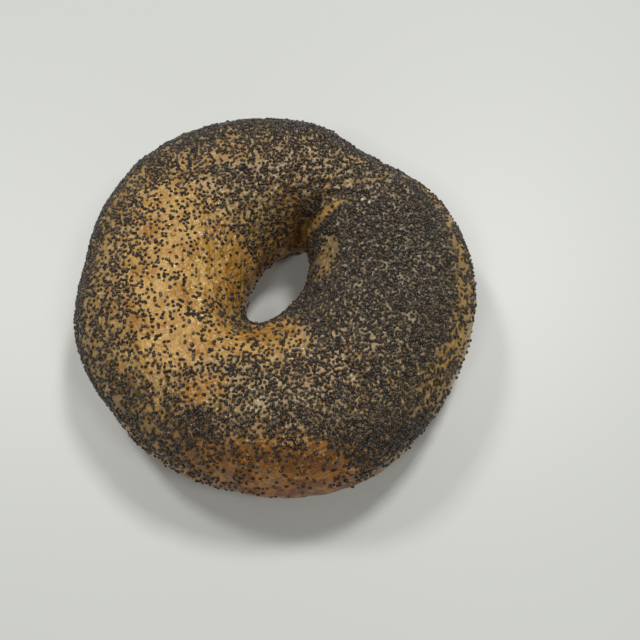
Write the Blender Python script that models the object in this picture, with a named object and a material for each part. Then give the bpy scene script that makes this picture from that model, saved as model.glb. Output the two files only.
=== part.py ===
"""A hand-rolled bagel: one ring of baked dough, modelled as a single closed solid.

Run it with: blender --background --python part.py

Units are metres and +Z is up. The bagel lies on its flat base at z = 0, with the origin on that
surface under the middle of its bounding box. A rope of dough is closed into a ring, so the shape
is a plain torus whose section is then widened, narrowed and raised as it goes round, and which
is nipped in along the seam where the rope's two ends were pressed together.

Angles round the ring are in degrees, anticlockwise from +X as seen from above. The turn is the
angle round the dough's section: 0 at the outer side, 90 at the crest, 180 in the hole, 270 at
the base.
"""

import math
from dataclasses import dataclass

import bmesh
import bpy
from mathutils import Matrix, Vector

# Driving dimensions of the ring.
OUTER_RADIUS = 0.0585
CREST_HEIGHT = 0.0370
WIDEST_SHARE = 0.40

# The hole is an oval that leans over, because the ends of the rope were pulled across it, and it
# lies beyond the ring's middle, which leaves the near side the thickest.
HOLE_HALF_LENGTH = 0.0165
HOLE_HALF_WIDTH = 0.0080
HOLE_LEAN = 66.0
HOLE_OFFSET = (0.0022, 0.0035)

# How square the dough's section is: 2 is an ellipse, and more is boxier.
DOME_EXPONENT = 2.05
BASE_EXPONENT = 2.9
BASE_SINK = 0.0022

# How finely the solid is cut into flat faces.
RING_STEPS = 112
SECTION_POINTS = 40
SEAM_CROWDING = 22.0

CRUST_COLOUR = (0.48, 0.28, 0.11, 1.0)
CRUST_ROUGHNESS = 0.45


@dataclass(frozen=True)
class Swell:
    """A place round the ring where the dough rose or spread more, or less, than elsewhere.

    angle is where it is, and spread is how far it reaches each way, both in degrees. outer and
    hole are added to the two radii, and crest to the height, all in metres.
    """

    angle: float
    spread: float
    outer: float = 0.0
    hole: float = 0.0
    crest: float = 0.0


SWELLS = (
    Swell(angle=4, spread=26, outer=0.0022),
    Swell(angle=56, spread=16, outer=-0.0046, crest=-0.0010),
    Swell(angle=122, spread=29, outer=0.0033, crest=-0.0012),
    Swell(angle=173, spread=11, outer=-0.0024),
    Swell(angle=217, spread=15, outer=-0.0014, crest=0.0008),
    Swell(angle=296, spread=27, outer=0.0028, crest=0.0010),
)


@dataclass(frozen=True)
class Foot:
    """A stretch where the dough slumped while it proved, and stands out low on the outer side."""

    angle: float
    spread: float
    reach: float
    height: float


FEET = (
    Foot(angle=0, spread=5, reach=0.0016, height=0.006),
    Foot(angle=6, spread=22, reach=0.0012, height=0.008),
    Foot(angle=184, spread=4, reach=0.0016, height=0.006),
    Foot(angle=192, spread=5, reach=0.0018, height=0.007),
)


@dataclass(frozen=True)
class Seam:
    """The fold where the rope's ends meet. It climbs out of the hole, bends and fades outwards.

    outer_angle is where it ends on the outer side and bend how much further round it starts in
    the hole, both in degrees. The lip is the end that lies on top, on the clockwise side.
    """

    outer_angle: float = 40.0
    bend: float = 29.0
    bend_power: float = 2.2
    hole_depth: float = 0.0030
    crest_depth: float = 0.0016
    half_width: float = 0.0028
    lip: float = 0.0010
    lip_width: float = 0.0070


SEAM = Seam()


def clear_scene():
    """Removes whatever the file that this runs in already holds."""
    for obj in list(bpy.data.objects):
        bpy.data.objects.remove(obj, do_unlink=True)


def degrees_apart(angle, other):
    """The signed angle from other to angle, between -180 and 180 degrees."""
    return (angle - other + 180.0) % 360.0 - 180.0


def hump(distance, width):
    """A smooth bell that is 1 at no distance and about a third at one width."""
    return math.exp(-((distance / width) ** 2))


def signed_power(value, power):
    """value raised to a power, with its sign kept."""
    return math.copysign(abs(value) ** power, value)


def swelled(angle, kind):
    """The sum of what every swell adds to one of outer, hole or crest at this angle."""
    return sum(getattr(s, kind) * hump(degrees_apart(angle, s.angle), s.spread) for s in SWELLS)


def bearing(angle):
    """The level unit vector that points at this angle."""
    return Vector((math.cos(math.radians(angle)), math.sin(math.radians(angle)), 0.0))


def rim_of_hole(angle):
    """The point of the hole's leaning oval that lies at this angle from the hole's own centre."""
    lean = math.radians(degrees_apart(angle, HOLE_LEAN))
    reach = 1.0 / math.hypot(math.cos(lean) / HOLE_HALF_LENGTH, math.sin(lean) / HOLE_HALF_WIDTH)
    return Vector((*HOLE_OFFSET, 0.0)) + bearing(angle) * (reach + swelled(angle, "hole"))


def foot_reach(angle, height):
    """How far the slumped foot stands out at this angle and height."""
    return sum(
        f.reach * hump(degrees_apart(angle, f.angle), f.spread) * hump(height - f.height / 2, f.height)
        for f in FEET
    )


def seam_push(angle, across, distance):
    """How deep the seam is pressed in at this place. Below zero, the fold's lip stands proud."""
    inward = 0.5 - 0.5 * across
    seam_angle = SEAM.outer_angle + SEAM.bend * inward**SEAM.bend_power
    beside = math.radians(degrees_apart(angle, seam_angle)) * distance
    depth = SEAM.hole_depth * inward**4 + SEAM.crest_depth * inward
    lip = SEAM.lip * inward * hump(beside + SEAM.lip_width, SEAM.lip_width)
    return depth * hump(beside, SEAM.half_width) - lip


def dough_point(angle, turn):
    """Where a point of the dough lies, about the ring's middle."""
    sine = math.sin(math.radians(turn))
    cosine = math.cos(math.radians(turn))
    exponent = DOME_EXPONENT if sine >= 0 else BASE_EXPONENT
    across = signed_power(cosine, 2 / exponent)
    up = signed_power(sine, 2 / exponent)
    hole = rim_of_hole(angle)
    outside = bearing(angle) * (OUTER_RADIUS + swelled(angle, "outer"))
    middle = (hole + outside) / 2
    half_width = (outside - hole) / 2
    crest = CREST_HEIGHT + swelled(angle, "crest")
    widest = WIDEST_SHARE * crest
    rise = crest - widest if up >= 0 else widest + BASE_SINK
    point = middle + half_width * across + Vector((0.0, 0.0, widest + rise * up))
    if point.z <= 0:
        point.z = 0.0
        return point
    if across > 0:
        point += bearing(angle) * across * foot_reach(angle, point.z)
    inward = middle + Vector((0.0, 0.0, widest)) - point
    point += inward.normalized() * seam_push(angle, cosine, point.xy.length)
    point.z = max(point.z, 0.0)
    return point


def plain_ring():
    """A bmesh torus: a circle, which is the section, spun about the upright axis."""
    radius = CREST_HEIGHT / 2
    middle = OUTER_RADIUS - radius
    ring = bmesh.new()
    place = Matrix.Translation((middle, 0, radius)) @ Matrix.Rotation(math.pi / 2, 4, "X")
    section = bmesh.ops.create_circle(ring, segments=SECTION_POINTS, radius=radius, matrix=place)
    edges = {edge for vert in section["verts"] for edge in vert.link_edges}
    bmesh.ops.spin(
        ring,
        geom=section["verts"] + list(edges),
        cent=(0, 0, 0),
        axis=(0, 0, 1),
        angle=2 * math.pi,
        steps=RING_STEPS,
        use_merge=True,
    )
    bmesh.ops.remove_doubles(ring, verts=ring.verts, dist=1e-6)
    bmesh.ops.recalc_face_normals(ring, faces=ring.faces)
    return ring


def crowded(angle):
    """The angle moved towards the seam, so that the faces are narrow there and wide opposite."""
    return angle - SEAM_CROWDING * math.sin(math.radians(angle - SEAM.outer_angle))


def knead(ring):
    """Moves each vertex of the plain torus to where the real dough is."""
    radius = CREST_HEIGHT / 2
    middle = OUTER_RADIUS - radius
    for vert in ring.verts:
        angle = math.degrees(math.atan2(vert.co.y, vert.co.x))
        turn = math.degrees(math.atan2(vert.co.z - radius, vert.co.xy.length - middle)) % 360.0
        vert.co = dough_point(crowded(angle), turn)


def stand_on_origin(ring):
    """Puts the middle of the bounding box over the origin. The base is at z = 0 already."""
    xs = [vert.co.x for vert in ring.verts]
    ys = [vert.co.y for vert in ring.verts]
    middle = Vector(((min(xs) + max(xs)) / 2, (min(ys) + max(ys)) / 2, 0.0))
    bmesh.ops.translate(ring, verts=ring.verts, vec=-middle)


def crust_material():
    """Golden baked crust, with a slight shine from being boiled."""
    material = bpy.data.materials.new("crust")
    material.use_nodes = True
    shader = material.node_tree.nodes["Principled BSDF"]
    shader.inputs["Base Color"].default_value = CRUST_COLOUR
    shader.inputs["Roughness"].default_value = CRUST_ROUGHNESS
    shader.inputs["Metallic"].default_value = 0.0
    return material


def make_bagel():
    """The whole bagel, as one object."""
    ring = plain_ring()
    knead(ring)
    stand_on_origin(ring)
    mesh = bpy.data.meshes.new("bagel")
    ring.to_mesh(mesh)
    ring.free()
    mesh.shade_smooth()
    mesh.materials.append(crust_material())
    bagel = bpy.data.objects.new("bagel", mesh)
    bpy.context.scene.collection.objects.link(bagel)
    return bagel


clear_scene()
make_bagel()
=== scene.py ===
"""The looks of a poppy seed bagel: its crust, its seeds and the plain studio that shows it.

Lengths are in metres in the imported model's frame: +Z is up and the flat base is at z = 0. Angles
round the ring are in degrees, anticlockwise from +X as seen from above.
"""

import logging
import math
from collections.abc import Callable
from dataclasses import dataclass, field
from enum import Enum

import bmesh
import bpy
import numpy as np
from mathutils import Matrix, Vector, noise


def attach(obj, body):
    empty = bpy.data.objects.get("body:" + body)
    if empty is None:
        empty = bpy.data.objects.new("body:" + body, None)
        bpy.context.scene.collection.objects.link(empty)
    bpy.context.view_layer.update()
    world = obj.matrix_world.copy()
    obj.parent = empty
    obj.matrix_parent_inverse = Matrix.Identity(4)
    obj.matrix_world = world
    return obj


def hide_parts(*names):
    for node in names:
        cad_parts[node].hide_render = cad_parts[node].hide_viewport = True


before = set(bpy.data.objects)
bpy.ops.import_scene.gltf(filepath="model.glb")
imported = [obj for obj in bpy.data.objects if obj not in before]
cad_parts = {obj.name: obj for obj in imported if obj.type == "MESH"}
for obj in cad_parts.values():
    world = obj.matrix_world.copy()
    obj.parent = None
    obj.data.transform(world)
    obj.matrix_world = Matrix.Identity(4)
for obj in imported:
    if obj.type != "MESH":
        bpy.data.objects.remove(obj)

LOG = logging.getLogger("bagel")
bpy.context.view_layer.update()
SOLID = "bagel"
MM = 0.001

Array = np.ndarray
Colour = tuple[float, float, float]


# --------------------------------------------------------------------------- places on the ring


@dataclass(frozen=True)
class Ring:
    """The ring of dough that places are given on.

    Attributes:
        middle: The point about which its angles are taken, (x, y).
        rope_radius: From that point to the middle of the rope's section.
        rope_height: How high the middle of the section lies.
        squash: How much wider the section is than it is high.
    """

    middle: tuple[float, float] = (-0.0019, 0.0001)
    rope_radius: float = 0.034
    rope_height: float = 0.015
    squash: float = 1.2

    def distance(self, points: Array) -> Array:
        """The level distance of each point from the ring's middle."""
        return np.hypot(points[:, 0] - self.middle[0], points[:, 1] - self.middle[1])

    def angle(self, points: Array) -> Array:
        """The angle of each point round the ring, in degrees."""
        return np.degrees(np.arctan2(points[:, 1] - self.middle[1], points[:, 0] - self.middle[0]))

    def turn(self, points: Array) -> Array:
        """The angle of each point round the section, in degrees: 0 outside, 90 at the crest."""
        out = self.distance(points) - self.rope_radius
        up = (points[:, 2] - self.rope_height) * self.squash
        return np.degrees(np.arctan2(up, out))

    def inward(self, points: Array) -> Array:
        """0 on the outer side, a half on the crest and 1 in the hole."""
        return 0.5 - 0.5 * np.cos(np.radians(self.turn(points)))


RING = Ring()


@dataclass(frozen=True)
class Patch:
    """A soft-edged oval on the bagel, seen from straight above.

    Attributes:
        centre: Its middle, (x, y).
        reach: Its two half-widths.
        turn: How far the first half-width is turned from +X, in degrees.
        amount: What it counts where it is strongest.
    """

    centre: tuple[float, float]
    reach: tuple[float, float]
    turn: float = 0.0
    amount: float = 1.0

    def strength(self, points: Array) -> Array:
        """How much of the patch is felt at each point."""
        lean = math.radians(self.turn)
        across = points[:, 0] - self.centre[0]
        away = points[:, 1] - self.centre[1]
        first = (across * math.cos(lean) + away * math.sin(lean)) / self.reach[0]
        second = (away * math.cos(lean) - across * math.sin(lean)) / self.reach[1]
        return self.amount * np.exp(-(np.hypot(first, second) ** 3))


@dataclass(frozen=True)
class Seam:
    """The fold where the rope's ends meet: it climbs out of the hole, bends and fades.

    Attributes:
        outer_angle: The ring angle where it ends on the outer side.
        bend: How much further round the ring it starts, in the hole.
        bend_power: How late on its way in it bends.
    """

    outer_angle: float = 40.0
    bend: float = 29.0
    bend_power: float = 2.2

    def beside(self, points: Array) -> Array:
        """The distance of each point from the fold, below zero on its clockwise side."""
        angle = self.outer_angle + self.bend * RING.inward(points) ** self.bend_power
        apart = (RING.angle(points) - angle + 180.0) % 360.0 - 180.0
        return np.radians(apart) * RING.distance(points)

    def strip(self, points: Array) -> Array:
        """The bare lip on the fold's clockwise side, from the hole up to the crest."""
        lip = ramp(np.abs(self.beside(points) + 1.6 * MM), 2.2 * MM, 1.3 * MM)
        return lip * ramp(RING.inward(points), 0.54, 0.64)


SEAM = Seam()


@dataclass(frozen=True)
class Wrinkles:
    """Folds that run side by side in the skin, most of them near the seam.

    Attributes:
        patches: Where they are, and how strong they are there.
        spacing: From one crest to the next.
        lean: How much they climb along +X.
    """

    patches: tuple[Patch, ...] = (
        Patch((0.027, 0.026), (0.016, 0.010), 10, 1.0),
        Patch((0.012, 0.029), (0.008, 0.007), -20, 0.6),
        Patch((0.036, 0.008), (0.016, 0.022), 0, 0.45),
    )
    spacing: float = 0.0034
    lean: float = 0.12

    def crests(self, points: Array) -> Array:
        """Above 0 on the crests and below 0 between them, as far as there are wrinkles."""
        wander = 0.0016 * cloud(points, 0.007, 2, 11.0)
        phase = (points[:, 1] - self.lean * points[:, 0] + wander) / self.spacing
        strength = sum(patch.strength(points) for patch in self.patches)
        return np.minimum(strength, 1.0) * np.cos(2 * math.pi * phase)


WRINKLES = Wrinkles()
STREAKS = (
    Patch((0.0270, 0.0272), (0.0070, 0.0006), 4, 0.9),
    Patch((0.0150, 0.0270), (0.0030, 0.0006), 60, 0.8),
    Patch((0.0215, 0.0205), (0.0022, 0.0006), 10, 0.7),
)


def ridges(points: Array) -> Array:
    """The thin winding ridges that part the seeds, 1 along their tops."""
    flat = points * np.array([0.62, 1.0, 1.0])
    return ramp(np.abs(cloud(flat, 0.0030, 1, 61.0)), 0.20, 0.02)


def right_side(points: Array) -> Array:
    """1 round the ring's right side, where the outer wall is pale and almost bare, 0 elsewhere."""
    return ramp(np.abs(RING.angle(points) - 2.0), 56.0, 24.0)


def bell(distance: Array, width: float) -> Array:
    """A smooth bell that is 1 at no distance and about a third at one width."""
    return np.exp(-((distance / width) ** 2))


def ramp(value: Array, low: float, high: float) -> Array:
    """0 up to low, 1 from high, and smooth between. high may be the smaller of the two.

    Args:
        value: The values to map.
        low: Where the ramp starts.
        high: Where it ends.

    Returns:
        The mapped values.
    """
    share = np.clip((value - low) / (high - low), 0.0, 1.0)
    return share * share * (3.0 - 2.0 * share)


def cloud(points: Array, scale: float, octaves: int = 1, shift: float = 0.0) -> Array:
    """Smooth random values of about -1 to 1 at each point.

    Args:
        points: Where to take them.
        scale: The size of the lumps.
        octaves: How many finer layers are added.
        shift: Moves the pattern, so that two layers differ.

    Returns:
        One value for each point.
    """
    offset = Vector((shift, 2.0 * shift, -shift))
    values = (noise.fractal(Vector(p) / scale + offset, 1.0, 2.0, octaves) for p in points)
    return np.fromiter(values, float, len(points))


def cells(points: Array, scale: float, shift: float = 0.0) -> Array:
    """The distance of each point from the nearest of many scattered spots, in spot spacings.

    Args:
        points: Where to measure.
        scale: The spacing of the spots.
        shift: Moves the pattern.

    Returns:
        One distance for each point.
    """
    offset = Vector((shift, shift, shift))
    values = (noise.voronoi(Vector(p) / scale + offset)[0][0] for p in points)
    return np.fromiter(values, float, len(points))


# --------------------------------------------------------------------------- node helpers


class Sketch:
    """A node tree that is being drawn."""

    def __init__(self, tree: bpy.types.NodeTree) -> None:
        """Starts to draw in a tree."""
        self.tree = tree

    def node(self, kind: str, **settings: object) -> bpy.types.Node:
        """Adds a node.

        Args:
            kind: The node's type name.
            settings: Its properties, by name.

        Returns:
            The new node.
        """
        made = self.tree.nodes.new(kind)
        for name, value in settings.items():
            setattr(made, name, value)
        return made

    def feed(self, socket: bpy.types.NodeSocket, source: object) -> None:
        """Gives a socket its value: a link from another socket, a number or a colour."""
        if isinstance(source, bpy.types.NodeSocket):
            self.tree.links.new(source, socket)
        elif isinstance(source, tuple) and len(source) == 3 and socket.type == "RGBA":
            socket.default_value = (*source, 1.0)
        else:
            socket.default_value = source

    def math(self, operation: str, first: object, second: object = 0.0) -> bpy.types.NodeSocket:
        """Adds a Math node and returns its output."""
        made = self.node("ShaderNodeMath", operation=operation)
        self.feed(made.inputs[0], first)
        self.feed(made.inputs[1], second)
        return made.outputs[0]

    def blend(self, share: object, start: object, end: object) -> bpy.types.NodeSocket:
        """Adds a colour mix.

        Args:
            share: 0 for start and 1 for end.
            start: A colour.
            end: The other colour.

        Returns:
            The mixed colour's socket.
        """
        made = self.node("ShaderNodeMix", data_type="RGBA")
        self.feed(made.inputs["Factor"], share)
        self.feed(made.inputs[6], start)
        self.feed(made.inputs[7], end)
        return made.outputs[2]

    def between(
        self, value: object, low: float, high: float, start: float, end: float
    ) -> bpy.types.NodeSocket:
        """Maps low..high to start..end smoothly, and holds it there beyond them.

        Args:
            value: What is mapped.
            low: The value that becomes start.
            high: The value that becomes end.
            start: The result at low.
            end: The result at high.

        Returns:
            The mapped value's socket.
        """
        made = self.node("ShaderNodeMapRange", interpolation_type="SMOOTHSTEP")
        for name, source in (
            ("Value", value),
            ("From Min", low),
            ("From Max", high),
            ("To Min", start),
            ("To Max", end),
        ):
            self.feed(made.inputs[name], source)
        return made.outputs["Result"]

    def specks(self, place: object, scale: float, detail: float = 2.0) -> bpy.types.NodeSocket:
        """Adds a noise texture and returns its value, which is about 0.5 on average."""
        made = self.node("ShaderNodeTexNoise")
        self.feed(made.inputs["Vector"], place)
        self.feed(made.inputs["Scale"], scale)
        self.feed(made.inputs["Detail"], detail)
        return made.outputs[0]

    def trait(self, name: str) -> bpy.types.NodeSocket:
        """The value of one of the piece's own attributes."""
        return self.node("ShaderNodeAttribute", attribute_name=name).outputs["Fac"]

    def bump(self, height: object, depth: float, strength: float) -> bpy.types.NodeSocket:
        """Adds a Bump node.

        Args:
            height: The relief.
            depth: How high it stands, in metres.
            strength: How much of it is shown.

        Returns:
            The normal's socket.
        """
        made = self.node("ShaderNodeBump")
        self.feed(made.inputs["Height"], height)
        self.feed(made.inputs["Distance"], depth)
        self.feed(made.inputs["Strength"], strength)
        return made.outputs["Normal"]


def new_material(name: str) -> tuple[bpy.types.Material, Sketch, bpy.types.Node]:
    """Makes a material with a bare Principled shader.

    Args:
        name: The material's name.

    Returns:
        The material, a sketch of its tree, and its shader.
    """
    material = bpy.data.materials.new(name)
    material.use_nodes = True
    return material, Sketch(material.node_tree), material.node_tree.nodes["Principled BSDF"]


def mottle_group() -> bpy.types.NodeTree:
    """The shared mottling: patches of two sizes, and fine grain for the relief.

    Returns:
        The node group. It is made once and then found by its name.
    """
    known = bpy.data.node_groups.get("baked_mottle")
    if known:
        return known
    group = bpy.data.node_groups.new("baked_mottle", "ShaderNodeTree")
    for name, kind in (
        ("Vector", "NodeSocketVector"),
        ("Coarse", "NodeSocketFloat"),
        ("Fine", "NodeSocketFloat"),
    ):
        group.interface.new_socket(name, in_out="INPUT", socket_type=kind)
    for name in ("Patches", "Lumps", "Grain"):
        group.interface.new_socket(name, in_out="OUTPUT", socket_type="NodeSocketFloat")
    sketch = Sketch(group)
    entry = sketch.node("NodeGroupInput")
    leave = sketch.node("NodeGroupOutput")
    coarse = sketch.specks(entry.outputs["Vector"], 1.0, 3.0)
    sketch.feed(coarse.node.inputs["Scale"], entry.outputs["Coarse"])
    fine = sketch.specks(entry.outputs["Vector"], 1.0, 1.0)
    sketch.feed(fine.node.inputs["Scale"], entry.outputs["Fine"])
    lumps = sketch.specks(entry.outputs["Vector"], 1.0, 1.0)
    sketch.feed(lumps.node.inputs["Scale"], sketch.math("MULTIPLY", entry.outputs["Fine"], 0.4))
    sketch.feed(leave.inputs["Patches"], sketch.between(coarse, 0.38, 0.62, 0.0, 1.0))
    sketch.feed(leave.inputs["Grain"], fine)
    sketch.feed(leave.inputs["Lumps"], lumps)
    return group


def mottle(sketch: Sketch, coarse: float, fine: float) -> bpy.types.Node:
    """Places the shared mottling in a material.

    Args:
        sketch: The material's tree.
        coarse: How many patches there are to a metre.
        fine: How many grains there are to a metre.

    Returns:
        The group's node.
    """
    made = sketch.node("ShaderNodeGroup", node_tree=mottle_group())
    place = sketch.node("ShaderNodeTexCoord").outputs["Object"]
    sketch.feed(made.inputs["Vector"], place)
    sketch.feed(made.inputs["Coarse"], coarse)
    sketch.feed(made.inputs["Fine"], fine)
    return made


# --------------------------------------------------------------------------- finishes


@dataclass(frozen=True)
class CrustFinish:
    """Golden baked crust with a soft, uneven sheen.

    Attributes:
        golden: The well-baked top.
        straw: Lighter mottling in it.
        amber: Its darker, orange spots.
        brown: The glossy side that baked hardest; a quarter of it is also laid low in the hole as painted
            shade.
        glaze: The orange patches on it.
        pale: Stretched dough at the foot and on the seam's lip.
        crowded_crust: The darker, greyer crust that shows between crowded seeds.
        ridge_tone_and_painted_highlight: The paler ridges that part crowded seeds, partly their own tone
            and partly a painted highlight.
        cream: Small flecks of dried starch.
        tray: The matte underside.
        roughness: Its lowest and highest value.
        relief: How deep the fine relief is.
        subsurface: The share of the light that goes into the crust.
        subsurface_reach: How far it goes there.
    """

    golden: Colour = (0.40, 0.21, 0.042)
    straw: Colour = (0.50, 0.30, 0.085)
    amber: Colour = (0.30, 0.125, 0.010)
    brown: Colour = (0.170, 0.048, 0.001)
    glaze: Colour = (0.37, 0.118, 0.002)
    pale: Colour = (0.40, 0.235, 0.055)
    crowded_crust: Colour = (0.175, 0.134, 0.072)
    ridge_tone_and_painted_highlight: Colour = (0.33, 0.268, 0.165)
    cream: Colour = (0.60, 0.46, 0.26)
    tray: Colour = (0.33, 0.20, 0.085)
    roughness: tuple[float, float] = (0.17, 0.45)
    relief: float = 0.0012
    subsurface: float = 0.10
    subsurface_reach: float = 0.0015

    def material(self) -> bpy.types.Material:
        """Builds the material, which reads the traits that the crust piece carries."""
        material, sketch, shader = new_material("baked_crust")
        patches = mottle(sketch, 230.0, 1500.0)
        fleck_pattern = sketch.node("ShaderNodeTexVoronoi")
        place = sketch.node("ShaderNodeTexCoord").outputs["Object"]
        sketch.feed(fleck_pattern.inputs["Vector"], place)
        sketch.feed(fleck_pattern.inputs["Scale"], 520.0)
        flecks = sketch.between(fleck_pattern.outputs["Distance"], 0.12, 0.26, 1.0, 0.0)
        scarce = sketch.between(sketch.specks(place, 260.0), 0.54, 0.64, 0.0, 0.75)
        colour = sketch.blend(patches.outputs["Patches"], self.golden, self.straw)
        blots = sketch.between(sketch.specks(place, 120.0, 3.0), 0.47, 0.66, 0.0, 0.75)
        colour = sketch.blend(sketch.math("MAXIMUM", blots, sketch.trait("amber")), colour, self.amber)
        # Darker, greyer crust where seeds crowd, most of all over the dipped right side.
        colour = sketch.blend(sketch.trait("crowded"), colour, self.crowded_crust)
        # Painted highlight: the ridge crests between crowded seeds are made paler, partly as the crust's
        # own tone.
        colour = sketch.blend(sketch.math("MULTIPLY", sketch.trait("ridged"), 0.6), colour, self.ridge_tone_and_painted_highlight)
        glazed = sketch.between(patches.outputs["Patches"], 0.35, 0.75, 0.0, 1.0)
        hard = sketch.blend(glazed, self.brown, self.glaze)
        # The browned mask is browning on the near side, plus painted shade low in the hole.
        colour = sketch.blend(sketch.trait("browned"), colour, hard)
        colour = sketch.blend(sketch.trait("stretched"), colour, self.pale)
        colour = sketch.blend(sketch.math("MULTIPLY", flecks, scarce), colour, self.cream)
        colour = sketch.blend(sketch.trait("underneath"), colour, self.tray)
        sketch.feed(shader.inputs["Base Color"], colour)
        gloss = sketch.between(sketch.specks(place, 330.0), 0.35, 0.65, *self.roughness)
        matte = sketch.math("MAXIMUM", gloss, sketch.math("MULTIPLY", sketch.trait("underneath"), 0.75))
        sketch.feed(shader.inputs["Roughness"], matte)
        fine = sketch.math("MULTIPLY", patches.outputs["Grain"], 0.25)
        height = sketch.math("ADD", patches.outputs["Lumps"], fine)
        height = sketch.math("ADD", height, sketch.math("MULTIPLY", flecks, 0.12))
        sketch.feed(shader.inputs["Normal"], sketch.bump(height, self.relief, 1.0))
        shader.inputs["Subsurface Weight"].default_value = self.subsurface
        shader.inputs["Subsurface Scale"].default_value = self.subsurface_reach
        return material


class SeedKind(Enum):
    """The kinds of poppy seed: (name, dark colour, light colour, share of all the seeds)."""

    INK = ("seeds_ink", (0.004, 0.002, 0.001), (0.012, 0.008, 0.006), 0.18)
    SOOT = ("seeds_soot", (0.007, 0.005, 0.004), (0.020, 0.015, 0.012), 0.18)
    SLATE = ("seeds_slate", (0.010, 0.008, 0.006), (0.042, 0.034, 0.028), 0.18)
    UMBER = ("seeds_umber", (0.010, 0.005, 0.002), (0.036, 0.021, 0.011), 0.17)
    COCOA = ("seeds_cocoa", (0.007, 0.0035, 0.002), (0.022, 0.012, 0.007), 0.11)
    ASH = ("seeds_ash", (0.032, 0.027, 0.021), (0.098, 0.083, 0.062), 0.09)
    DULL = ("seeds_dull", (0.040, 0.026, 0.014), (0.120, 0.088, 0.054), 0.09)

    @property
    def label(self) -> str:
        """The piece's name."""
        return self.value[0]

    @property
    def share(self) -> float:
        """How many of all the seeds are of this kind."""
        return self.value[3]


@dataclass(frozen=True)
class SeedFinish:
    """The seed coat: each seed has a shade of its own, and a faint netted relief.

    Attributes:
        dark: The darkest seed of the kind.
        light: The lightest one.
        net: The fine pale ridges on the coat.
        roughness: Its lowest and highest value.
        specular: How strongly it reflects.
    """

    dark: Colour
    light: Colour
    net: Colour = (0.15, 0.10, 0.06)
    roughness: tuple[float, float] = (0.11, 0.30)
    specular: float = 0.50

    def material(self, name: str) -> bpy.types.Material:
        """Builds the material, which reads each seed's own shade."""
        material, sketch, shader = new_material(name)
        patches = mottle(sketch, 2600.0, 9000.0)
        shade = sketch.math("MULTIPLY_ADD", patches.outputs["Patches"], 0.3)
        sketch.feed(shade.node.inputs[2], sketch.trait("shade"))
        netting = sketch.node("ShaderNodeTexVoronoi", feature="DISTANCE_TO_EDGE")
        sketch.feed(netting.inputs["Vector"], sketch.node("ShaderNodeTexCoord").outputs["Object"])
        sketch.feed(netting.inputs["Scale"], 3600.0)
        netted = sketch.between(netting.outputs["Distance"], 0.03, 0.12, 0.30, 0.0)
        netted = sketch.math("MULTIPLY", netted, patches.outputs["Patches"])
        colour = sketch.blend(shade, self.dark, self.light)
        sketch.feed(shader.inputs["Base Color"], sketch.blend(netted, colour, self.net))
        gloss = sketch.between(patches.outputs["Grain"], 0.35, 0.65, *self.roughness)
        sketch.feed(shader.inputs["Roughness"], gloss)
        sketch.feed(shader.inputs["Normal"], sketch.bump(patches.outputs["Grain"], 0.00004, 0.5))
        shader.inputs["Specular IOR Level"].default_value = self.specular
        return material


# --------------------------------------------------------------------------- meshes


def round_share(corner_angles: Array, face_angles: Array) -> Array:
    """Turns angles into shares of a full turn that don't jump inside a face.

    Args:
        corner_angles: The angle at each corner, in degrees.
        face_angles: The angle of the face that each corner belongs to, in degrees.

    Returns:
        One share for each corner, from about 0 to about 1.
    """
    apart = (corner_angles - face_angles + 180.0) % 360.0 - 180.0
    return (face_angles % 360.0 + apart) / 360.0


def mesh_points(mesh: bpy.types.Mesh) -> Array:
    """The positions of a mesh's vertices."""
    values = np.empty(len(mesh.vertices) * 3)
    mesh.vertices.foreach_get("co", values)
    return values.reshape(-1, 3)


def mesh_normals(mesh: bpy.types.Mesh) -> Array:
    """The smooth normals at a mesh's vertices."""
    values = np.empty(len(mesh.vertices) * 3, np.float32)
    mesh.vertex_normals.foreach_get("vector", values)
    return values.reshape(-1, 3).astype(float)


def set_trait(mesh: bpy.types.Mesh, name: str, values: Array) -> None:
    """Stores one number for each vertex, which the materials read by name."""
    mesh.attributes.new(name, "FLOAT", "POINT").data.foreach_set("value", values.astype(np.float32))


def new_piece(name: str, mesh: bpy.types.Mesh, material: bpy.types.Material) -> bpy.types.Object:
    """Puts a finished mesh in the scene as a piece that rides on the bagel.

    Args:
        name: The piece's name.
        mesh: Its mesh.
        material: Its material.

    Returns:
        The piece.
    """
    mesh.shade_smooth()
    mesh.materials.clear()
    mesh.materials.append(material)
    piece = bpy.data.objects.new(name, mesh)
    bpy.context.scene.collection.objects.link(piece)
    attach(piece, "root")
    return piece


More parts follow.
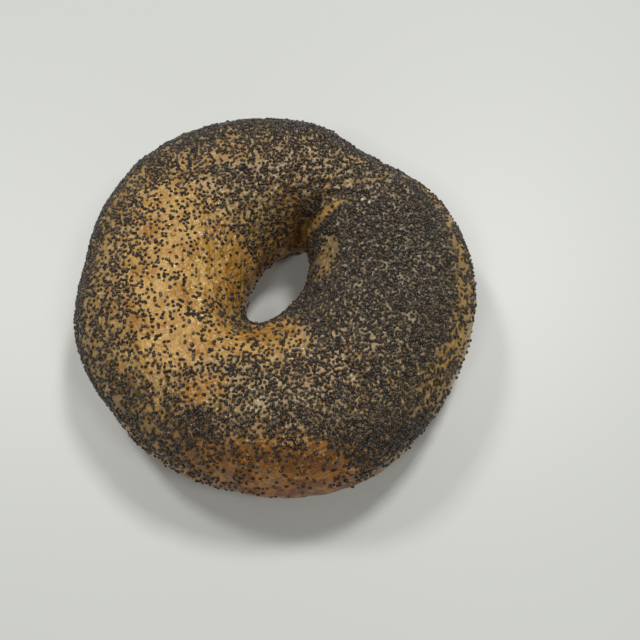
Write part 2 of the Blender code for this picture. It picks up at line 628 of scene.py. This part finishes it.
@dataclass
class Crust:
    """The bagel's skin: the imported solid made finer, with its lumps, folds and wrinkles.

    Attributes:
        finish: How it looks.
        levels: How often each face is divided.
        lump_height: How high the broad lumps stand.
        pimple_height: How high the small ones do.
        fold_depth: How much deeper the seam is than in the solid.
        lip_height: How far the seam's lip stands proud.
        wrinkle_height: How high the wrinkles stand.
        ridge_height: How high the ridges between crowded seeds do.
        browned: Where the crust baked hardest.
        toes: Where the slumped foot bulges most.
        amber: Its orange spots.
    """

    finish: CrustFinish = field(default_factory=CrustFinish)
    levels: int = 2
    lump_height: float = 0.00045
    pimple_height: float = 0.00020
    fold_depth: float = 0.0009
    lip_height: float = 0.0006
    wrinkle_height: float = 0.00028
    ridge_height: float = 0.00022
    browned: tuple[Patch, ...] = (
        Patch((0.008, -0.058), (0.036, 0.0085), 0, 1.0),
        Patch((-0.022, -0.047), (0.012, 0.006), -25, 0.5),
    )
    toes: tuple[Patch, ...] = (
        Patch((0.060, 0.0045), (0.008, 0.0060), 0, 0.0015),
        Patch((-0.060, 0.0060), (0.008, 0.0050), 0, 0.0013),
        Patch((-0.058, -0.0120), (0.008, 0.0060), 0, 0.0014),
    )
    amber: tuple[Patch, ...] = (
        Patch((-0.038, -0.020), (0.006, 0.004), 60, 0.85),
        Patch((-0.017, -0.037), (0.008, 0.004), 20, 0.85),
        Patch((-0.013, 0.002), (0.005, 0.009), -5, 0.55),
        Patch((0.005, 0.024), (0.006, 0.006), 0, 0.8),
        Patch((-0.006, -0.020), (0.012, 0.004), 10, 0.55),
        Patch((0.014, 0.002), (0.004, 0.009), 0, 0.3),
        Patch((0.008, -0.050), (0.022, 0.004), 0, 0.5),
    )

    def build(self) -> bpy.types.Object:
        """Makes the piece.

        Returns:
            The crust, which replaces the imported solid.
        """
        mesh = self._finer_solid()
        points = mesh_points(mesh)
        normals = mesh_normals(mesh)
        points += normals * self._relief(points, normals)[:, None]
        mesh.vertices.foreach_set("co", points.ravel())
        mesh.update()
        self._mark(mesh)
        self._lay_out(mesh)
        piece = new_piece("crust", mesh, self.finish.material())
        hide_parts(SOLID)
        return piece

    def _finer_solid(self) -> bpy.types.Mesh:
        """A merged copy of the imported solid, as quads, divided smoothly."""
        shape = bmesh.new()
        shape.from_mesh(bpy.data.objects[SOLID].data)
        bmesh.ops.remove_doubles(shape, verts=shape.verts, dist=0.01 * MM)
        bmesh.ops.join_triangles(
            shape,
            faces=shape.faces,
            angle_face_threshold=math.radians(40),
            angle_shape_threshold=math.radians(60),
        )
        coarse = bpy.data.meshes.new("crust_coarse")
        shape.to_mesh(coarse)
        shape.free()
        holder = bpy.data.objects.new("crust_coarse", coarse)
        bpy.context.scene.collection.objects.link(holder)
        finer = holder.modifiers.new("finer", "SUBSURF")
        finer.levels = finer.render_levels = self.levels
        graph = bpy.context.evaluated_depsgraph_get()
        mesh = bpy.data.meshes.new_from_object(holder.evaluated_get(graph))
        mesh.name = "crust"
        bpy.data.objects.remove(holder, do_unlink=True)
        bpy.data.meshes.remove(coarse)
        return mesh

    def _relief(self, points: Array, normals: Array) -> Array:
        """How far each vertex moves outwards along its normal. The flat base stays."""
        free = ramp(points[:, 2], 0.4 * MM, 4.0 * MM)
        lumps = self.lump_height * cloud(points, 0.018, 3)
        hard = np.minimum(sum(patch.strength(points) for patch in self.browned), 1.0)
        ridged = self.ridge_height * ramp(seeding(points), 0.7, 1.1) * ridges(points)
        pimples = self.pimple_height * (1.0 + 1.6 * hard) * cloud(points, 0.0042, 2, 7.0)
        blisters = 0.8 * self.pimple_height * ramp(cells(points, 0.0048, 3.0), 0.42, 0.12)
        folds = self._fold(points) + self._wrinkled(points)
        toe = sum(toe.strength(points) for toe in self.toes) * bell(points[:, 2] - 6.0 * MM, 5.0 * MM)
        return free * (lumps + pimples + blisters + ridged + folds + toe)

    def _fold(self, points: Array) -> Array:
        """The seam's groove, and the lip beside it."""
        beside = SEAM.beside(points) + 0.35 * MM * cloud(points, 0.004, 1, 5.0)
        inward = RING.inward(points)
        groove = self.fold_depth * bell(beside, 1.1 * MM) * inward
        lip = self.lip_height * bell(beside + 2.1 * MM, 1.4 * MM) * ramp(inward, 0.4, 0.75)
        return lip - groove

    def _wrinkled(self, points: Array) -> Array:
        """Wrinkles in the skin where it was pulled towards the seam."""
        height = self.wrinkle_height * WRINKLES.crests(points)
        height = height + 0.3 * MM * sum(streak.strength(points) for streak in STREAKS)
        side = bell(RING.angle(points) - 1.0, 17.0) * ramp(points[:, 2], 19 * MM, 11 * MM)
        side = side * ramp(RING.inward(points), 0.3, 0.1)
        stretch = np.cos(RING.angle(points) * 1.9 + 3.0 * cloud(points, 0.006, 1, 2.0))
        return height + 0.10 * MM * side * stretch

    def _mark(self, mesh: bpy.types.Mesh) -> None:
        """Stores where the crust is browned, stretched, crowded with seeds, and so on. The browned mask
        also holds a painted shade low in the hole.
        """
        points = mesh_points(mesh)
        normals = mesh_normals(mesh)
        waver = cloud(points, 0.009, 3, 21.0)
        height = points[:, 2] + 1.6 * MM * waver
        outer = ramp(RING.inward(points), 0.45, 0.2)
        foot = outer * ramp(height, 13 * MM, 6 * MM)
        right = right_side(points)
        left = bell(np.abs(RING.angle(points)) - 180.0, 22.0)
        right_band = 0.9 * right * ramp(height, 33 * MM, 25 * MM)
        left_band = 0.8 * left * ramp(height, 18 * MM, 11 * MM)
        bands = outer * (right_band + left_band)
        pulled = sum(streak.strength(points) for streak in STREAKS)
        browned = sum(patch.strength(points) for patch in self.browned) * (0.85 + 0.4 * waver)
        # Painted shade: a quarter of the brown crust colour is laid low inside the hole, where little
        # light reaches.
        hole = ramp(RING.inward(points), 0.75, 0.95) * ramp(height, 24 * MM, 12 * MM)
        browned = np.clip(np.maximum(browned, 0.25 * hole), 0, 1)
        foot = 0.65 * foot * (1 - browned)
        stretched = np.maximum.reduce([foot, bands, 0.7 * SEAM.strip(points), 0.2 * pulled])
        amber = sum(patch.strength(points) for patch in self.amber) * (0.9 + 0.4 * waver)
        dipped = 0.95 * DIPPED.strength(points) * (1.0 - bands)
        crowd = np.maximum(0.5 * ramp(seeding(points), 0.40, 1.00), dipped)
        under = ramp(points[:, 2], 2.2 * MM, 0.6 * MM) * ramp(-normals[:, 2], 0.5, 0.9)
        # The ridged mask also carries a painted highlight along the ridge crests.
        set_trait(mesh, "ridged", ridges(points) * ramp(seeding(points), 0.6, 1.1))
        set_trait(mesh, "stretched", np.clip(stretched, 0, 1))
        set_trait(mesh, "browned", browned)
        set_trait(mesh, "amber", np.clip(amber, 0, 1))
        set_trait(mesh, "crowded", np.clip(crowd, 0, 1))
        set_trait(mesh, "underneath", under)

    def _lay_out(self, mesh: bpy.types.Mesh) -> None:
        """Gives the mesh a map for baking: round the ring, and round the rope's section."""
        points = mesh_points(mesh)
        corners = np.empty(len(mesh.loops), int)
        mesh.loops.foreach_get("vertex_index", corners)
        totals = np.empty(len(mesh.polygons), int)
        mesh.polygons.foreach_get("loop_total", totals)
        centres = np.empty(len(mesh.polygons) * 3)
        mesh.polygons.foreach_get("center", centres)
        centres = np.repeat(centres.reshape(-1, 3), totals, axis=0)
        round_ring = round_share(RING.angle(points)[corners], RING.angle(centres))
        round_rope = round_share(RING.turn(points)[corners], RING.turn(centres))
        places = np.stack([round_ring, round_rope], axis=1) * 0.94 + 0.03
        mesh.uv_layers.new(name="OFBake").data.foreach_set("uv", places.ravel())


# --------------------------------------------------------------------------- seeds


DIPPED = Patch((0.037, 0.003), (0.033, 0.043), 0, 1.0)
SEEDED = (
    Patch((0.037, 0.003), (0.032, 0.042), 0, 0.60),
    Patch((0.014, -0.012), (0.009, 0.010), 0, 0.90),
    Patch((0.016, -0.041), (0.028, 0.009), -4, 0.30),
    Patch((0.0145, 0.003), (0.0035, 0.0075), 0, -1.10),
    Patch((0.004, 0.024), (0.006, 0.006), 0, -0.40),
    Patch((-0.024, -0.004), (0.012, 0.018), -8, -0.38),
    Patch((-0.024, -0.025), (0.011, 0.007), 0, -0.56),
    Patch((-0.013, 0.002), (0.007, 0.009), -10, -0.50),
    Patch((-0.001, -0.0215), (0.016, 0.0065), 8, -0.52),
    Patch((-0.036, -0.004), (0.006, 0.018), 0, -0.24),
    Patch((-0.014, -0.030), (0.006, 0.004), 0, 0.20),
    Patch((0.013, -0.035), (0.012, 0.0035), 0, -0.22),
    Patch((0.030, -0.049), (0.010, 0.006), 0, 0.30),
    Patch((-0.014, 0.041), (0.008, 0.006), 0, -0.20),
    Patch((-0.028, 0.019), (0.011, 0.009), 0, -0.25),
    Patch((-0.017, -0.037), (0.006, 0.003), 20, -0.60),
    Patch((0.008, -0.061), (0.031, 0.009), 0, -0.66),
    Patch((0.028, 0.032), (0.018, 0.010), 0, -0.15),
    Patch((0.002, 0.028), (0.022, 0.006), 0, 0.24),
    Patch((-0.017, -0.046), (0.009, 0.004), -10, 0.40),
    Patch((-0.038, -0.040), (0.014, 0.009), -45, -0.02),
    Patch((0.000, 0.046), (0.034, 0.009), 0, 0.36),
)
PLAIN_SEEDING = 0.79
MOST_SEEDS = 1.42


def seeding(points: Array) -> Array:
    """How thickly each region was dipped in seeds, in seeds to a square millimetre."""
    amount = PLAIN_SEEDING + sum(patch.strength(points) for patch in SEEDED)
    waver = 2.2 * MM * cloud(points, 0.009, 2, 51.0)
    height = points[:, 2] + waver
    right = right_side(points)
    bare = 0.56 * ramp(height, 34.5 * MM, 28.5 * MM) + 0.35 * ramp(height, 26 * MM, 18 * MM)
    left = 2.0 * MM * ramp(np.abs(RING.angle(points)), 140.0, 165.0)
    outside = ramp(height - left, 8 * MM, 23 * MM) * (1.0 - right * bare)
    inside = 0.15 + 0.85 * ramp(height, 8 * MM, 30 * MM)
    amount = amount * np.where(RING.inward(points) > 0.5, inside, outside)
    bare = np.maximum(SEAM.strip(points), np.minimum(sum(s.strength(points) for s in STREAKS), 1.0))
    return np.clip(amount * (1.0 - 0.93 * bare), 0.03, MOST_SEEDS)


def seed_density(points: Array, normals: Array) -> Array:
    """How thickly the seeds lie, with their clumps and the bare lines between them.

    Args:
        points: Places on the crust.
        normals: The directions that the crust faces there.

    Returns:
        The seeds to a square millimetre at each place.
    """
    region = seeding(points)
    packed = ramp(region, 0.80, 1.15)
    clumps = 0.45 * cloud(points, 0.009, 2, 31.0) + 0.60 * cloud(points, 0.0036, 1, 41.0)
    clumps = 1.0 + clumps * (1.0 - 0.7 * packed)
    folds = 0.25 * np.maximum(WRINKLES.crests(points), 0.0)
    gaps = 1.0 - (0.70 - 0.30 * packed) * ridges(points) - folds
    amount = region * clumps * gaps * 1.2
    few_below = 0.01
    return np.where(normals[:, 2] < -0.8, few_below, np.clip(amount, 0.02, MOST_SEEDS))


def piled_density(points: Array, normals: Array) -> Array:
    """How many seeds lie on top of the others, where they are thickest."""
    clumps = ramp(cloud(points, 0.005, 2, 71.0), -0.1, 0.35)
    return 0.30 * ramp(seeding(points), 0.75, 1.15) * clumps * ramp(normals[:, 2], 0.1, 0.4)


@dataclass(frozen=True)
class Bed:
    """Places on the crust where small things lie.

    Attributes:
        points: Where they are.
        normals: Which way the crust faces there.
    """

    points: Array
    normals: Array

    def part(self, chosen: Array) -> "Bed":
        """The places that are chosen."""
        return Bed(self.points[chosen], self.normals[chosen])

    def joined(self, other: "Bed") -> "Bed":
        """These places and another bed's."""
        points = np.concatenate([self.points, other.points])
        return Bed(points, np.concatenate([self.normals, other.normals]))


def scatter(
    mesh: bpy.types.Mesh,
    density: Callable[[Array, Array], Array],
    spacing: float,
    taken: Array,
    rng: np.random.Generator,
) -> Bed:
    """Drops things at random on a mesh, none nearer to another than the spacing.

    Args:
        mesh: What they are dropped on.
        density: How many lie on a square millimetre, for places and normals.
        spacing: The least distance between two of them.
        taken: Places that are already taken.
        rng: The random numbers.

    Returns:
        Where they lie.
    """
    mesh.calc_loop_triangles()
    corners = np.empty(len(mesh.loop_triangles) * 3, int)
    mesh.loop_triangles.foreach_get("vertices", corners)
    corners = corners.reshape(-1, 3)
    points = mesh_points(mesh)
    normals = mesh_normals(mesh)
    a, b, c = (points[corners[:, k]] for k in range(3))
    area = 0.5 * np.linalg.norm(np.cross(b - a, c - a), axis=1) / MM**2
    wanted = density(points, normals)[corners].mean(axis=1)
    full = 0.70 / (spacing / MM) ** 2
    tries = wanted / (1.0 - np.minimum(wanted / full, 0.93)) ** 1.2
    chance = area * tries
    count = int(chance.sum())
    chosen = rng.choice(len(corners), count, p=chance / chance.sum())
    u, v = rng.random(count), rng.random(count)
    flip = u + v > 1
    u, v = np.where(flip, 1 - u, u), np.where(flip, 1 - v, v)
    w = np.stack([1 - u - v, u, v], axis=1)[:, :, None]
    places = (points[corners[chosen]] * w).sum(axis=1)
    facing = (normals[corners[chosen]] * w).sum(axis=1)
    facing /= np.linalg.norm(facing, axis=1)[:, None]
    kept = sieve(places, spacing, taken)
    return Bed(places, facing).part(kept)


def sieve(places: Array, spacing: float, taken: Array) -> Array:
    """Keeps each place that is far enough from those kept before it.

    Args:
        places: The places, in the order in which they are tried.
        spacing: The least distance.
        taken: Places that are already taken.

    Returns:
        The indices of the places that are kept.
    """
    boxes: dict[tuple[int, int, int], list[tuple[float, float, float]]] = {}

    def box_of(place: tuple[float, float, float]) -> tuple[int, int, int]:
        """The box of space that a place is in."""
        return tuple(int(math.floor(value / spacing)) for value in place)

    def is_free(place: tuple[float, float, float]) -> bool:
        """Whether nothing that was kept is too near."""
        i, j, k = box_of(place)
        for near in ((i + x, j + y, k + z) for x in (-1, 0, 1) for y in (-1, 0, 1) for z in (-1, 0, 1)):
            for other in boxes.get(near, ()):
                if math.dist(place, other) < spacing:
                    return False
        return True

    for place in map(tuple, taken.tolist()):
        boxes.setdefault(box_of(place), []).append(place)
    kept = []
    for index, place in enumerate(map(tuple, places.tolist())):
        if is_free(place):
            boxes.setdefault(box_of(place), []).append(place)
            kept.append(index)
    return np.array(kept, int)


@dataclass
class Template:
    """One small shape that is laid down many times in one mesh.

    Attributes:
        points: Its vertices, with +Z away from the crust.
        faces: Its faces.
        places: Where each corner lies in the shape's own square of the bake map.
    """

    points: Array
    faces: list[list[int]]
    places: Array

    @classmethod
    def of(cls, shape: bmesh.types.BMesh) -> "Template":
        """Takes the shape from a bmesh, and frees that."""
        bmesh.ops.recalc_face_normals(shape, faces=shape.faces)
        shape.verts.index_update()
        points = np.array([vert.co[:] for vert in shape.verts])
        faces = [[vert.index for vert in face.verts] for face in shape.faces]
        sides = np.repeat([len(face) for face in faces], [len(face) for face in faces])
        corners = points[np.concatenate(faces)]
        middles = [np.repeat([points[face].mean(axis=0)], len(face), axis=0) for face in faces]
        centres = np.concatenate(middles)
        corner_angles = np.degrees(np.arctan2(corners[:, 1], corners[:, 0]))
        face_angles = np.degrees(np.arctan2(centres[:, 1], centres[:, 0]))
        at_pole = np.hypot(corners[:, 0], corners[:, 1]) < 1e-3 * np.abs(points).max()
        corner_angles = np.where(at_pole & (sides == 3), face_angles, corner_angles)
        low, high = points[:, 2].min(), points[:, 2].max()
        up = (corners[:, 2] - low) / (high - low)
        shape.free()
        return cls(points, faces, np.stack([round_share(corner_angles, face_angles), up], axis=1))

    def laid(
        self,
        name: str,
        bed: Bed,
        sizes: Array,
        lift: Array,
        tilt: float,
        rng: np.random.Generator,
    ) -> bpy.types.Mesh:
        """Lays a copy on each place of a bed, turned at random.

        Args:
            name: The mesh's name.
            bed: The places.
            sizes: How much each copy is scaled along each axis.
            lift: How far each copy's middle lies above the crust.
            tilt: How much the copies lean.
            rng: The random numbers.

        Returns:
            One mesh that holds them all.
        """
        count = len(bed.points)
        up = bed.normals + rng.normal(0.0, tilt, (count, 3))
        up /= np.linalg.norm(up, axis=1)[:, None]
        along = np.cross(up, rng.normal(0.0, 1.0, (count, 3)))
        along /= np.linalg.norm(along, axis=1)[:, None]
        axes = np.stack([along, np.cross(up, along), up], axis=1)
        scaled = self.points[None] * sizes[:, None, :]
        points = scaled @ axes + (bed.points + bed.normals * lift[:, None])[:, None, :]
        step = len(self.points)
        faces = [[corner + step * copy for corner in face] for copy in range(count) for face in self.faces]
        mesh = bpy.data.meshes.new(name)
        mesh.from_pydata(points.reshape(-1, 3).tolist(), [], faces)
        side = math.ceil(math.sqrt(count))
        tile = np.arange(count)
        corner = np.stack([tile % side, tile // side], axis=1)[:, None, :]
        places = (corner + 0.08 + 0.84 * self.places[None]) / side
        mesh.uv_layers.new(name="OFBake").data.foreach_set("uv", places.ravel())
        return mesh


@dataclass
class SeedCoat:
    """All the poppy seeds, one piece for each kind.

    Attributes:
        length: A seed's length.
        width: Its width.
        thickness: Its thickness.
        notch: How deep the hollow in its side is, which makes it a kidney.
        sunk: The share of its thickness that is baked into the crust.
        spacing: The least distance between two seeds' middles.
        unevenness: How much the seeds differ in size.
        tilt: How much they lean.
        pressed: How far those under the base stand out of it.
        seed: What the random numbers start from.
    """

    length: float = 1.10 * MM
    width: float = 0.90 * MM
    thickness: float = 0.76 * MM
    notch: float = 0.10
    sunk: float = 0.38
    spacing: float = 0.66 * MM
    unevenness: float = 0.10
    tilt: float = 0.35
    pressed: float = 0.03 * MM
    seed: int = 4

    def build(self, crust: bpy.types.Object) -> list[bpy.types.Object]:
        """Scatters the seeds on the crust.

        Args:
            crust: What they lie on.

        Returns:
            One piece for each kind.
        """
        rng = np.random.default_rng(self.seed)
        bed = scatter(crust.data, seed_density, self.spacing, np.empty((0, 3)), rng)
        piled = scatter(crust.data, piled_density, 1.1 * self.spacing, np.empty((0, 3)), rng)
        piled = Bed(piled.points + piled.normals * 0.42 * self.thickness, piled.normals)
        bed = bed.joined(piled)
        template = self._seed()
        kinds = list(SeedKind)
        shares = np.array([kind.share for kind in kinds])
        dealt = rng.choice(len(kinds), len(bed.points), p=shares / shares.sum())
        return [self._piece(kind, bed.part(dealt == k), template, rng) for k, kind in enumerate(kinds)]

    def _seed(self) -> Template:
        """One seed, a kidney of unit size."""
        shape = bmesh.new()
        bmesh.ops.create_uvsphere(shape, u_segments=8, v_segments=5, radius=0.5)
        for vert in shape.verts:
            side = max(vert.co.y, 0.0) / 0.5
            vert.co.y -= self.notch * side * math.exp(-((vert.co.x / 0.2) ** 2))
            vert.co.y -= 0.12 * (vert.co.x / 0.5) ** 2 * 0.5
        return Template.of(shape)

    def _piece(
        self, kind: SeedKind, bed: Bed, template: Template, rng: np.random.Generator
    ) -> bpy.types.Object:
        """Lays the seeds of one kind."""
        count = len(bed.points)
        body = np.array([self.length, self.width, self.thickness])
        sizes = body * rng.normal(1.0, self.unevenness, (count, 1)) * rng.normal(1.0, 0.05, (count, 3))
        lift = self.thickness * (0.5 - self.sunk + rng.normal(0.0, 0.07, count))
        mesh = template.laid(kind.label, bed, sizes, lift, self.tilt, rng)
        for vert in mesh.vertices:
            vert.co.z = max(vert.co.z, -self.pressed)
        set_trait(mesh, "shade", np.repeat(rng.random(count), len(template.points)) * 0.85)
        finish = SeedFinish(kind.value[1], kind.value[2])
        return new_piece(kind.label, mesh, finish.material(kind.label))


@dataclass
class Sockets:
    """The little rings of crust that fallen seeds left behind.

    Attributes:
        radius: A ring's radius.
        rim: The thickness of its rim.
        bare: Where most of them are.
        seed: What the random numbers start from.
    """

    radius: float = 0.44 * MM
    rim: float = 0.14 * MM
    bare: tuple[Patch, ...] = (
        Patch((0.006, -0.058), (0.034, 0.010), 0, 0.14),
        Patch((-0.022, -0.008), (0.016, 0.026), 0, 0.035),
        Patch((0.0, -0.022), (0.018, 0.008), 0, 0.05),
    )
    seed: int = 9

    def build(self, crust: bpy.types.Object, seeds: list[bpy.types.Object]) -> bpy.types.Object:
        """Scatters the rings between the seeds.

        Args:
            crust: What they lie on.
            seeds: The seeds, which leave no ring where they are.

        Returns:
            The piece.
        """
        rng = np.random.default_rng(self.seed)
        taken = np.concatenate([mesh_points(piece.data)[::9] for piece in seeds])
        bed = scatter(crust.data, self._density, 0.55 * MM, taken, rng)
        sizes = np.repeat(rng.normal(1.0, 0.12, (len(bed.points), 1)), 3, axis=1)
        lift = np.full(len(sizes), -0.05 * MM)
        mesh = self._ring().laid("sockets", bed, sizes, lift, 0.24, rng)
        browned = np.repeat(rng.uniform(0.15, 0.85, len(sizes)), len(mesh.vertices) // len(sizes))
        set_trait(mesh, "browned", browned)
        for name in ("stretched", "amber", "crowded", "ridged", "underneath"):
            set_trait(mesh, name, np.zeros(len(mesh.vertices)))
        return new_piece("sockets", mesh, bpy.data.materials["baked_crust"])

    def _density(self, points: Array, normals: Array) -> Array:
        """How many rings lie on a square millimetre."""
        some = 0.004 + sum(patch.strength(points) for patch in self.bare)
        return some * ramp(normals[:, 2], -0.1, 0.2) * ramp(points[:, 2], 5 * MM, 10 * MM)

    def _ring(self) -> Template:
        """One ring: a small circle spun about the upright axis."""
        shape = bmesh.new()
        made = bmesh.ops.create_circle(shape, segments=5, radius=self.rim)
        upright = Matrix.Rotation(math.pi / 2, 3, "X")
        bmesh.ops.rotate(shape, verts=made["verts"], cent=(0, 0, 0), matrix=upright)
        bmesh.ops.translate(shape, verts=made["verts"], vec=(self.radius, 0, 0))
        bmesh.ops.spin(
            shape,
            geom=shape.verts[:] + shape.edges[:],
            cent=(0, 0, 0),
            axis=(0, 0, 1),
            angle=2 * math.pi,
            steps=10,
            use_merge=True,
        )
        return Template.of(shape)


# --------------------------------------------------------------------------- studio


@dataclass(frozen=True)
class Lamp:
    """A white square lamp that points at the bagel.

    Attributes:
        name: Its name.
        place: Where it hangs.
        width: How wide it is.
        watts: How strong it is.
    """

    name: str
    place: tuple[float, float, float]
    width: float
    watts: float

    def hang(self) -> None:
        """Puts the lamp in the scene."""
        lamp = bpy.data.lights.new(self.name, "AREA")
        lamp.size = self.width
        lamp.energy = self.watts
        holder = bpy.data.objects.new(self.name, lamp)
        holder.location = self.place
        holder.rotation_euler = Vector(self.place).to_track_quat("Z", "Y").to_euler()
        bpy.context.scene.collection.objects.link(holder)


@dataclass(frozen=True)
class Studio:
    """A pale floor, soft white lamps and the camera.

    Attributes:
        floor_width: How wide the floor is.
        floor_colour: Its colour.
        sky: How bright the air all round is.
        lamps: The lamps.
        aim: What the camera looks at.
        elevation: How steeply it looks down, in degrees.
        distance: How far away it is.
        view_angle: How much it takes in, in degrees.
    """

    floor_width: float = 4.0
    floor_colour: Colour = (0.56, 0.57, 0.54)
    sky: float = 0.12
    lamps: tuple[Lamp, ...] = (
        Lamp("key", (0.24, 0.40, 0.82), 0.16, 4.3),
        Lamp("second", (-0.40, 0.38, 0.80), 0.16, 3.2),
        Lamp("left_fill", (-0.30, -0.50, 0.90), 0.22, 2.2),
        Lamp("right_fill", (0.45, -0.30, 0.95), 0.22, 1.9),
    )
    aim: tuple[float, float, float] = (0.0125, -0.0085, 0.016)
    elevation: float = 65.0
    distance: float = 0.245
    view_angle: float = 42.0

    def build(self) -> None:
        """Makes all of it, and sets how the picture is shown."""
        self._floor()
        for lamp in self.lamps:
            lamp.hang()
        self._air()
        self._camera()
        bpy.context.scene.view_settings.view_transform = "Standard"

    def _floor(self) -> None:
        """The floor, just under the bagel."""
        shape = bmesh.new()
        bmesh.ops.create_grid(shape, x_segments=1, y_segments=1, size=self.floor_width / 2)
        bmesh.ops.translate(shape, verts=shape.verts, vec=(0, 0, -0.05 * MM))
        mesh = bpy.data.meshes.new("floor")
        shape.to_mesh(mesh)
        shape.free()
        material, _, shader = new_material("pale_floor")
        shader.inputs["Base Color"].default_value = (*self.floor_colour, 1.0)
        shader.inputs["Roughness"].default_value = 0.45
        mesh.materials.append(material)
        floor = bpy.data.objects.new("floor", mesh)
        bpy.context.scene.collection.objects.link(floor)

    def _air(self) -> None:
        """Even white light from all round."""
        world = bpy.data.worlds.new("studio")
        world.use_nodes = True
        back = world.node_tree.nodes["Background"]
        back.inputs["Color"].default_value = (1.0, 1.0, 1.0, 1.0)
        back.inputs["Strength"].default_value = self.sky
        bpy.context.scene.world = world

    def _camera(self) -> None:
        """The camera, looking away along +Y and down."""
        lens = bpy.data.cameras.new("camera")
        lens.angle = math.radians(self.view_angle)
        lens.clip_start = 0.01
        camera = bpy.data.objects.new("camera", lens)
        steep = math.radians(self.elevation)
        back = Vector((0.0, -math.cos(steep), math.sin(steep)))
        camera.location = Vector(self.aim) + back * self.distance
        camera.rotation_euler = back.to_track_quat("Z", "Y").to_euler()
        bpy.context.scene.collection.objects.link(camera)
        bpy.context.scene.camera = camera


def report(piece: bpy.types.Object) -> None:
    """Logs a piece and how many triangles it has."""
    piece.data.calc_loop_triangles()
    LOG.info("%s: %d triangles", piece.name, len(piece.data.loop_triangles))


def main() -> None:
    """Builds the bagel and its studio."""
    logging.basicConfig(level=logging.INFO, format="%(message)s")
    crust = Crust().build()
    report(crust)
    seeds = SeedCoat().build(crust)
    for piece in seeds:
        report(piece)
    report(Sockets().build(crust, seeds))
    Studio().build()


if __name__ == "__main__":
    main()
